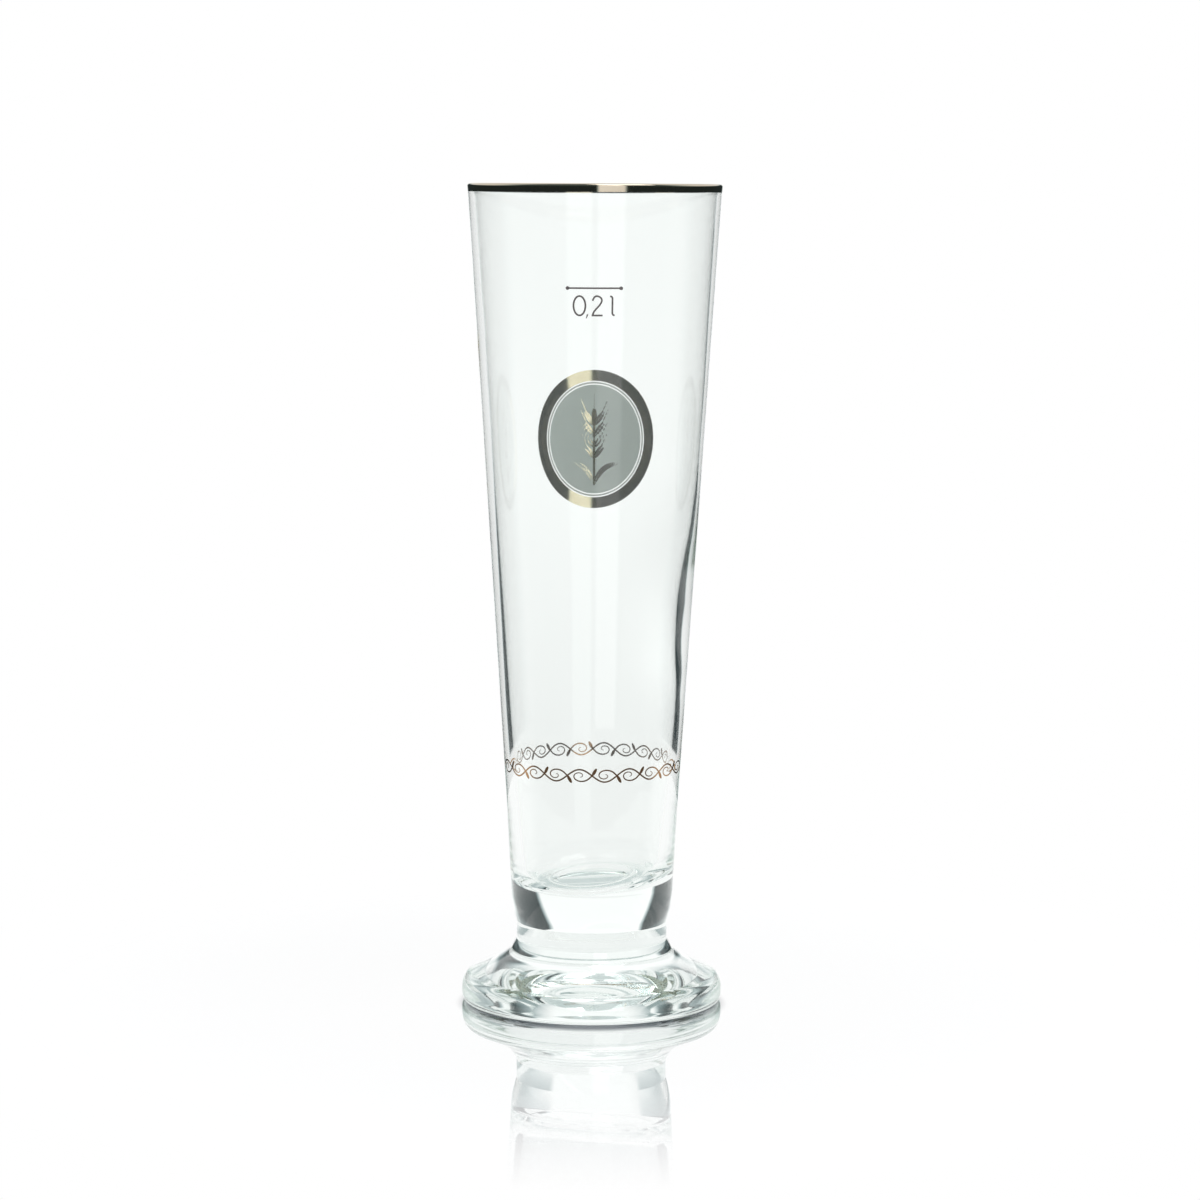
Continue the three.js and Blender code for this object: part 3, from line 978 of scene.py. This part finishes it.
@dataclass
class ScrollBand:
    """A running scroll low on the bowl, once on the near and once on the far side."""

    wall: Wall
    rise: float = 9.5 * MM
    length: float = 58 * MM
    waves: int = 5
    swing: float = 1.45 * MM
    width: float = 0.36 * MM
    tendril_turns: float = 1.2
    tendril_eye: float = 0.45 * MM
    tendril_squash: float = 0.72
    leaf_length: float = 2 * MM
    leaf_width: float = 0.75 * MM
    leaf_lean: float = math.pi / 3
    curl_proud: float = 0.9 * PROUD
    leaf_proud: float = 0.8 * PROUD
    tip: float = FILM_TIP

    def scroll(self) -> Skin:
        """A stem in even sine waves, a curl in the hollow of each half wave and a leaf on the other side.

        A curl runs round the middle of its half wave while its reach shrinks with the square root of the
        way, so that it leaves the stem along the stem and closes on a small eye.

        Returns:
            The flat ornament.
        """
        half_wave = self.length / self.waves / 2
        x = np.linspace(-self.length / 2, self.length / 2, 240)
        stem = self.swing * np.sin(math.pi * (x + self.length / 2) / half_wave)
        parts = [stroke(np.stack([x, stem], axis=1), even(self.width, 240))]
        along = np.linspace(0, 1, 48)
        reach = half_wave / 2 + (self.tendril_eye - half_wave / 2) * np.sqrt(along)
        for half in range(2 * self.waves):
            side = 1 if half % 2 == 0 else -1
            crest = -self.length / 2 + (half + 0.5) * half_wave
            angle = -side * along * self.tendril_turns * 2 * math.pi
            curl = np.stack(
                [crest + reach * np.cos(angle), self.tendril_squash * reach * np.sin(angle)], axis=1
            )
            crossing = crest + half_wave / 2
            tip = (
                crossing + self.leaf_length * math.cos(self.leaf_lean),
                side * self.leaf_length * math.sin(self.leaf_lean),
            )
            parts.append(stroke(curl, taper(self.width, self.tip, 48), self.curl_proud))
            blade = straight((crossing, 0), tip, 14)
            parts.append(stroke(blade, leaf(self.leaf_width, self.tip, 14), self.leaf_proud))
        return joined(parts)

    def build(self) -> None:
        """Prints the scroll on both sides."""
        level = self.wall.bend_top + self.rise
        for name, side in (("ornament_front", Side.NEAR), ("ornament_back", Side.FAR)):
            self.wall.fire_on(name, self.scroll(), level, side, SCROLL_GOLD, "ornament_gilding")


Steps = tuple[tuple[float, float], ...]


def shares(steps: Steps) -> list[tuple[float, float]]:
    """Turns steps by compass degrees to the stops of a ramp over half a turn."""
    return [(angle / HALF_TURN, level) for angle, level in steps]


def span(ends: tuple[float, float]) -> dict[str, float]:
    """The start and the end of a range, by the names of a range's sockets."""
    return {"From Min": ends[0], "From Max": ends[1]}


@dataclass
class Sight:
    """What the surround knows of a ray, and the node tree that works it out.

    The turn is in half turns from straight behind the glass, to the right, and apart is the same to either
    side. The rise is in degrees above the horizon. Bounced is 1 after a reflection, and under is 1 where
    the ray looks down onto the table.
    """

    tree: bpy.types.NodeTree
    ray: bpy.types.NodeOutputs
    turn: bpy.types.NodeSocket
    apart: bpy.types.NodeSocket
    rise: bpy.types.NodeSocket
    bounced: bpy.types.NodeSocket
    under: bpy.types.NodeSocket


@dataclass
class Surround:
    """White backdrop and table, two dark cards, a dark room and a tall softbox, for glass and gold to show.

    Steps are pairs of compass degrees from straight behind the glass and of brightness. Each rise is a pair
    of degrees above the horizon: where a change starts and where it is done.
    """

    card_start: float = 31.5
    card_end: float = 78.0
    card_inner_blur: float = 2.0
    card_outer_blur: tuple[float, float] = (5.0, 10.0)
    card_level: float = 0.05
    card_shift: float = 3.5
    card_slant: float = 0.6
    slant_rise: tuple[float, float] = (-7.0, 8.0)
    card_foot: float = 6.0
    foot_rise: tuple[float, float] = (-8.0, -11.0)
    top_rise: tuple[float, float] = (12.0, 26.0)
    under_rise: tuple[float, float] = (-12.0, -15.0)
    bounce_reach: float = 7.0
    roof: Steps = ((21.6, 1.0), (54.0, 0.5), (108.0, 0.4))
    solid_crossings: float = 2.5
    wings: Steps = ((2.7, 0.0), (25.2, 1.0), (45.0, 1.0), (72.0, 0.0))
    wing_lift: float = 0.16
    dish_rise: tuple[float, float] = (2.0, 7.0)
    dish_level: float = 0.68
    room: Steps = ((9.0, 1.0), (16.2, 0.03))
    ceiling: Steps = ((72.0, 0.9), (108.0, 0.1))
    ceiling_rise: tuple[float, float] = (9.0, 15.0)
    table: Steps = ((81.0, 1.0), (108.0, 0.2))
    table_rise: tuple[float, float] = (-14.0, -17.0)
    softbox: Steps = ((150.5, 0.0), (153.5, 1.0), (175.5, 1.0), (178.5, 0.0))
    softbox_level: float = 1.2
    gold_crossings: float = 4.5
    sweep_rise: tuple[float, float] = (-9.5, -5.5)
    backdrop_level: float = 1.1
    floor_level: float = 1.0
    fill_level: float = 1.0
    shade_colour: str = "#d8fbff"

    def sight(self, tree: bpy.types.NodeTree) -> Sight:
        """Works out a ray's compass angle and its rise from its direction.

        Args:
            tree: The world's node tree.

        Returns:
            The sockets that the other methods read.
        """
        ray = add_node(tree, "LightPath")
        place = add_node(tree, "TexCoord")["Generated"]
        axes = add_node(tree, "SeparateXYZ", {"Vector": place})
        compass = add_node(tree, "Math", {0: axes["X"], 1: axes["Y"]}, operation="ARCTAN2")[0]
        turn = add_node(tree, "Math", {0: compass, 1: math.pi}, operation="DIVIDE")[0]
        apart = add_node(tree, "Math", {0: turn}, operation="ABSOLUTE")[0]
        arc = add_node(tree, "Math", {0: axes["Z"]}, operation="ARCSINE")[0]
        rise = add_node(tree, "Math", {0: arc}, operation="DEGREES")[0]
        bounced = add_node(tree, "Math", {0: ray["Glossy Depth"], 1: ONCE}, operation="GREATER_THAN")[0]
        raised = add_node(
            tree, "Math", {0: bounced, 1: self.bounce_reach, 2: rise}, operation="MULTIPLY_ADD"
        )[0]
        under = add_node(tree, "MapRange", {"Value": raised, **span(self.under_rise)})[0]
        return Sight(tree, ray, turn, apart, rise, bounced, under)

    def cards(self, sight: Sight) -> bpy.types.NodeSocket:
        """The backdrop between two dark cards that lean, under a roof and over the table.

        Args:
            sight: What is known of the ray.

        Returns:
            The brightness that solid glass shows.
        """
        tree = sight.tree
        aside = add_node(tree, "Math", {0: sight.turn, 1: self.card_shift / HALF_TURN}, operation="ADD")[0]
        beside = add_node(tree, "Math", {0: aside}, operation="ABSOLUTE")[0]
        low, high = (self.card_slant / HALF_TURN * rise for rise in self.slant_rise)
        lean = add_node(
            tree, "MapRange", {"Value": sight.rise, **span(self.slant_rise), "To Min": low, "To Max": high}
        )[0]
        drawn_in = add_node(
            tree,
            "MapRange",
            {"Value": sight.rise, **span(self.foot_rise), "To Max": self.card_foot / HALF_TURN},
        )[0]
        offset = add_node(tree, "Math", {0: lean, 1: drawn_in}, operation="ADD")[0]
        slant = add_node(tree, "Math", {0: beside, 1: offset}, operation="ADD")[0]
        dark_by, white_by = self.card_outer_blur
        steps = (
            (self.card_start - self.card_inner_blur, 1.0),
            (self.card_start + self.card_inner_blur, self.card_level),
            (self.card_end - dark_by, self.card_level),
            (self.card_end + white_by, 1.0),
        )
        cards = add_node(tree, "ValToRGB", {"Fac": slant}, stops=shares(steps))[0]
        stood = add_node(tree, "Mix", {0: sight.under, 2: cards, 3: 1.0})[0]
        above = add_node(tree, "MapRange", {"Value": sight.rise, **span(self.top_rise)})[0]
        roof = add_node(tree, "ValToRGB", {"Fac": sight.apart}, stops=shares(self.roof))[0]
        return add_node(tree, "Mix", {0: above, 2: stood, 3: roof})[0]

    def through_glass(self, sight: Sight) -> bpy.types.NodeSocket:
        """What glass shows: the cards through solid glass, and a plain white backdrop through the bowl.

        The backdrop is a little brighter to the sides, where the wall is thickest to the eye, and dimmer
        above, where the floor of the bowl mirrors it.

        Args:
            sight: What is known of the ray.

        Returns:
            The brightness that glass shows.
        """
        tree = sight.tree
        wings = add_node(tree, "ValToRGB", {"Fac": sight.apart}, stops=shares(self.wings))[0]
        lifted = add_node(tree, "Math", {0: wings, 1: self.wing_lift, 2: 1.0}, operation="MULTIPLY_ADD")[0]
        backdrop = add_node(tree, "Mix", {0: sight.under, 2: lifted, 3: 1.0})[0]
        upward = add_node(
            tree, "MapRange", {"Value": sight.rise, **span(self.dish_rise), "To Max": sight.bounced}
        )[0]
        seen = add_node(tree, "Mix", {0: upward, 2: backdrop, 3: self.dish_level})[0]
        solid = add_node(
            tree,
            "Math",
            {0: sight.ray["Transmission Depth"], 1: self.solid_crossings},
            operation="LESS_THAN",
        )[0]
        return add_node(tree, "Mix", {0: solid, 2: seen, 3: self.cards(sight)})[0]

    def in_gold(self, sight: Sight) -> bpy.types.NodeSocket:
        """What gold shows: a dark room with a ceiling and a table, and one tall softbox in front of it all.

        Args:
            sight: What is known of the ray.

        Returns:
            The brightness that gold shows.
        """
        tree = sight.tree
        room = add_node(tree, "ValToRGB", {"Fac": sight.apart}, stops=shares(self.room))[0]
        ceiling = add_node(tree, "ValToRGB", {"Fac": sight.apart}, stops=shares(self.ceiling))[0]
        high = add_node(tree, "MapRange", {"Value": sight.rise, **span(self.ceiling_rise)})[0]
        walls = add_node(tree, "Mix", {0: high, 2: room, 3: ceiling})[0]
        table = add_node(tree, "ValToRGB", {"Fac": sight.apart}, stops=shares(self.table))[0]
        below = add_node(tree, "MapRange", {"Value": sight.rise, **span(self.table_rise)})[0]
        shell = add_node(tree, "Mix", {0: below, 2: walls, 3: table})[0]
        strip = add_node(tree, "ValToRGB", {"Fac": sight.turn}, stops=shares(self.softbox))[0]
        return add_node(tree, "Mix", {0: strip, 2: shell, 3: self.softbox_level})[0]

    def brightness(self, sight: Sight) -> bpy.types.NodeSocket:
        """Picks what a ray shows by its path.

        A ray that leaves a mirror, or that crossed the glass both ways, comes from gold. Diffuse light gets
        the plain fill. The camera and the floor's mirror see plain white.

        Args:
            sight: What is known of the ray.

        Returns:
            The brightness of the surround.
        """
        tree, ray = sight.tree, sight.ray
        mirrored = add_node(
            tree, "Math", {0: ray["Is Glossy Ray"], 1: ray["Is Reflection Ray"]}, operation="MULTIPLY"
        )[0]
        returned = add_node(
            tree, "Math", {0: ray["Transmission Depth"], 1: self.gold_crossings}, operation="GREATER_THAN"
        )[0]
        gold = add_node(tree, "Math", {0: mirrored, 1: returned}, operation="MAXIMUM")[0]
        studio = add_node(tree, "Mix", {0: gold, 2: self.through_glass(sight), 3: self.in_gold(sight)})[0]
        sweep = add_node(
            tree,
            "MapRange",
            {
                "Value": sight.rise,
                **span(self.sweep_rise),
                "To Min": self.floor_level,
                "To Max": self.backdrop_level,
            },
        )[0]
        bright = add_node(tree, "Math", {0: studio, 1: sweep}, operation="MULTIPLY")[0]
        spread = add_node(tree, "Math", {0: ray["Diffuse Depth"], 1: ONCE}, operation="GREATER_THAN")[0]
        lit = add_node(tree, "Mix", {0: spread, 2: bright, 3: self.fill_level})[0]
        sheet = add_node(
            tree, "Math", {0: ray["Is Singular Ray"], 1: ray["Is Reflection Ray"]}, operation="MULTIPLY"
        )[0]
        white = add_node(tree, "Math", {0: sheet, 1: ray["Is Camera Ray"]}, operation="MAXIMUM")[0]
        return add_node(tree, "Mix", {0: white, 2: lit, 3: 1.0})[0]

    def build(self) -> None:
        """Lights the world, with a cool cast where it is dark."""
        world = bpy.data.worlds.new("studio")
        bpy.context.scene.world = world
        world.use_nodes = True
        tree = world.node_tree
        tree.nodes.clear()
        level = self.brightness(self.sight(tree))
        cool = add_node(
            tree, "Mix", {"Factor": level, 6: linear(self.shade_colour), 7: WHITE}, data_type="RGBA"
        )[2]
        light = add_node(tree, "Background", {"Color": cool, "Strength": level})
        add_node(tree, "OutputWorld", {"Surface": light[0]})


@dataclass
class Floor:
    """A round sheet of glossy white acrylic just under the foot."""

    radius: float = 260 * MM
    drop: float = 0.03 * MM
    corners: int = 128
    paper_colour: str = "#f6f6f9"
    lit_share: float = 0.3
    # The shadow fields place a painted contact shadow: a grey ring on the floor round the foot, shifted to
    # the front.
    shadow_ahead: float = 5 * MM
    shadow_start: float = 27 * MM
    shadow_end: float = 32.5 * MM
    shadow_colour: str = "#83868b"
    mirror_start: float = 30 * MM
    mirror_near: float = 0.9
    mirror_far: float = 0.3
    white_start: float = 95 * MM
    white_end: float = 170 * MM
    front_reach: float = 60 * MM
    front_level: float = 0.2
    glass_level: float = 1.0
    fill_level: float = 0.9

    def finish(self) -> bpy.types.Material:
        """Glossy acrylic: to the camera it mirrors what stands close, and is plain white further off.

        Glass, gold and diffuse light see it as an even glow, which gold sees dimmed in front of the glass.
        To the camera, a grey ring just ahead of the foot is a painted contact shadow.

        Returns:
            The floor's material.
        """
        material, tree = new_tree("glossy_white_acrylic_sheet")
        ray = add_node(tree, "LightPath")
        place = add_node(tree, "TexCoord")["Object"]
        axes = add_node(tree, "SeparateXYZ", {"Vector": place})
        away = add_node(tree, "VectorMath", {0: place}, operation="LENGTH")["Value"]
        front = add_node(
            tree,
            "MapRange",
            {"Value": axes["Y"], "From Min": -self.front_reach, "From Max": 0.0, "To Min": self.front_level},
        )[0]
        mirrored = add_node(
            tree, "Math", {0: ray["Is Glossy Ray"], 1: ray["Is Reflection Ray"]}, operation="MULTIPLY"
        )[0]
        through = add_node(
            tree, "Mix", {0: ray["Is Transmission Ray"], 2: self.fill_level, 3: self.glass_level}
        )[0]
        level = add_node(tree, "Mix", {0: mirrored, 2: through, 3: front})[0]
        glow = add_node(tree, "Emission", {"Color": WHITE, "Strength": level})
        white = add_node(tree, "Emission", {"Color": WHITE})
        # Painted contact shadow: a grey ring a little in front of the foot darkens the white and the mirror
        # alike.
        ahead = add_node(tree, "VectorMath", {0: place, 1: (0, self.shadow_ahead, 0)}, operation="ADD")[0]
        ring = add_node(tree, "VectorMath", {0: ahead}, operation="LENGTH")["Value"]
        painted_shadow_fade = add_node(
            tree,
            "MapRange",
            {"Value": ring, "From Min": self.shadow_start, "From Max": self.shadow_end},
            interpolation_type="SMOOTHSTEP",
        )[0]
        painted_shadow_tone = add_node(
            tree, "Mix", {"Factor": painted_shadow_fade, 6: linear(self.shadow_colour), 7: WHITE}, data_type="RGBA"
        )[2]
        lit = add_node(tree, "BsdfDiffuse", {"Color": linear(self.paper_colour)})
        paper = add_node(tree, "Emission", {"Color": painted_shadow_tone})
        mirror = add_node(tree, "BsdfGlossy", {"Color": painted_shadow_tone, "Roughness": 0.0})
        sheet = add_node(tree, "MixShader", {0: self.lit_share, 1: paper[0], 2: lit[0]})
        close = add_node(
            tree,
            "MapRange",
            {
                "Value": away,
                "From Min": self.mirror_start,
                "From Max": self.white_end,
                "To Min": self.mirror_near,
                "To Max": self.mirror_far,
            },
        )[0]
        polished = add_node(tree, "MixShader", {0: close, 1: sheet[0], 2: mirror[0]})
        far = add_node(
            tree, "MapRange", {"Value": away, "From Min": self.white_start, "From Max": self.white_end}
        )[0]
        shown = add_node(tree, "MixShader", {0: far, 1: polished[0], 2: white[0]})
        seen = add_node(tree, "MixShader", {0: ray["Is Camera Ray"], 1: glow[0], 2: shown[0]})
        add_node(tree, "OutputMaterial", {"Surface": seen[0]})
        return material

    def build(self) -> None:
        """Lays the sheet as one flat face round the axis."""
        edge = oval(self.radius, self.radius, self.corners)
        points = np.concatenate([edge, np.full((self.corners, 1), -self.drop)], axis=1)
        mesh = bpy.data.meshes.new("floor")
        mesh.from_pydata(points.tolist(), [], [list(range(self.corners))])
        mesh.materials.append(self.finish())
        sheet = bpy.data.objects.new("floor", mesh)
        bpy.context.scene.collection.objects.link(sheet)


@dataclass
class Studio:
    """The surround, the floor, one wide soft lamp and the camera."""

    lamp_place: tuple[float, float, float] = (350 * MM, -350 * MM, 1200 * MM)
    lamp_aim: tuple[float, float, float] = (0.0, 0.0, 90 * MM)
    lamp_width: float = 700 * MM
    lamp_power: float = 4.0
    camera_distance: float = 860 * MM
    camera_height: float = 192 * MM
    camera_aside: float = 1.6 * MM
    camera_tilt: float = math.radians(6.44)
    camera_roll: float = math.radians(0.27)
    focal_length: float = 110.7
    film_width: float = 36.0
    clip_end: float = 20.0
    bounces: int = 128

    def lamp(self) -> None:
        """Hangs a wide soft lamp over the glass, a little to the front and right."""
        light = bpy.data.lights.new("soft_lamp", "AREA")
        light.energy = self.lamp_power
        light.size = self.lamp_width
        lamp = bpy.data.objects.new("soft_lamp", light)
        lamp.location = self.lamp_place
        aim = Vector(self.lamp_aim) - lamp.location
        lamp.rotation_euler = aim.to_track_quat("-Z", "Y").to_euler()
        bpy.context.scene.collection.objects.link(lamp)

    def camera(self) -> None:
        """Sets the camera level with the lip, tilted down and rolled by a quarter of a degree."""
        view = bpy.data.cameras.new("camera")
        view.lens = self.focal_length
        view.sensor_width = self.film_width
        view.clip_end = self.clip_end
        camera = bpy.data.objects.new("camera", view)
        place = Matrix.Translation((self.camera_aside, -self.camera_distance, self.camera_height))
        tilt = Matrix.Rotation(math.pi / 2 - self.camera_tilt, 4, "X")
        camera.matrix_world = place @ tilt @ Matrix.Rotation(self.camera_roll, 4, "Z")
        bpy.context.scene.collection.objects.link(camera)
        bpy.context.scene.camera = camera

    def build(self) -> None:
        """Sets up the studio, and follows light far enough to leave the thick glass again."""
        scene = bpy.context.scene
        scene.view_settings.view_transform = "Standard"
        scene.cycles.max_bounces = self.bounces
        scene.cycles.transmission_bounces = self.bounces
        scene.cycles.glossy_bounces = self.bounces
        Surround().build()
        Floor().build()
        self.lamp()
        self.camera()


def main() -> None:
    """Builds the studio and every piece of the glass."""
    logging.basicConfig(level=logging.INFO, format="%(name)s %(message)s")
    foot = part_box("foot")[1]
    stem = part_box("stem")[1]
    wall = Wall()
    glass = FusedGlass(wall, foot.x, foot.z, stem.x, stem.z)
    Studio().build()
    glass.build()
    LipGilding(glass).build()
    FillMark(wall).build()
    Badge(wall).build()
    ScrollBand(wall).build()


if __name__ == "__main__":
    main()
